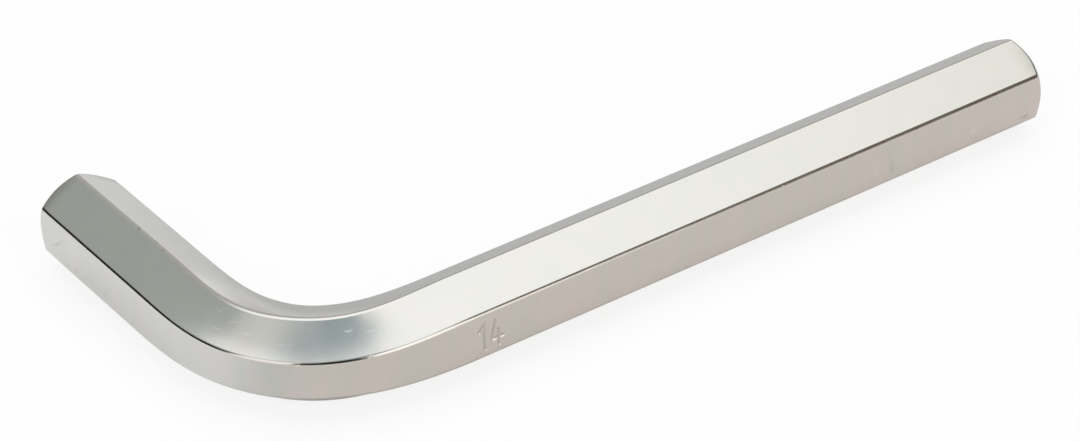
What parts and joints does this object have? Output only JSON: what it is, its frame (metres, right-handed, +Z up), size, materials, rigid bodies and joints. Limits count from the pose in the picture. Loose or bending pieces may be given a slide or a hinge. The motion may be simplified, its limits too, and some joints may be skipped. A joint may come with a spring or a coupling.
{
  "type": "hex key",
  "caption": "L-shaped hexagon bar key with a long and a short arm, for driving hexagon socket screws.",
  "frame": {"origin": "centre of the bounding box, on the surface that the key lies on", "axes": "+X along the long arm towards its tip, +Y along the short arm towards its tip, +Z up, square to the plane of the bend"},
  "size_m": [0.154, 0.0694, 0.0158],
  "materials": {
    "nickel_plate": "bright nickel plate over steel"
  },
  "bodies": {
    "root": {"hex_key": "nickel_plate"}
  },
  "joints": []
}
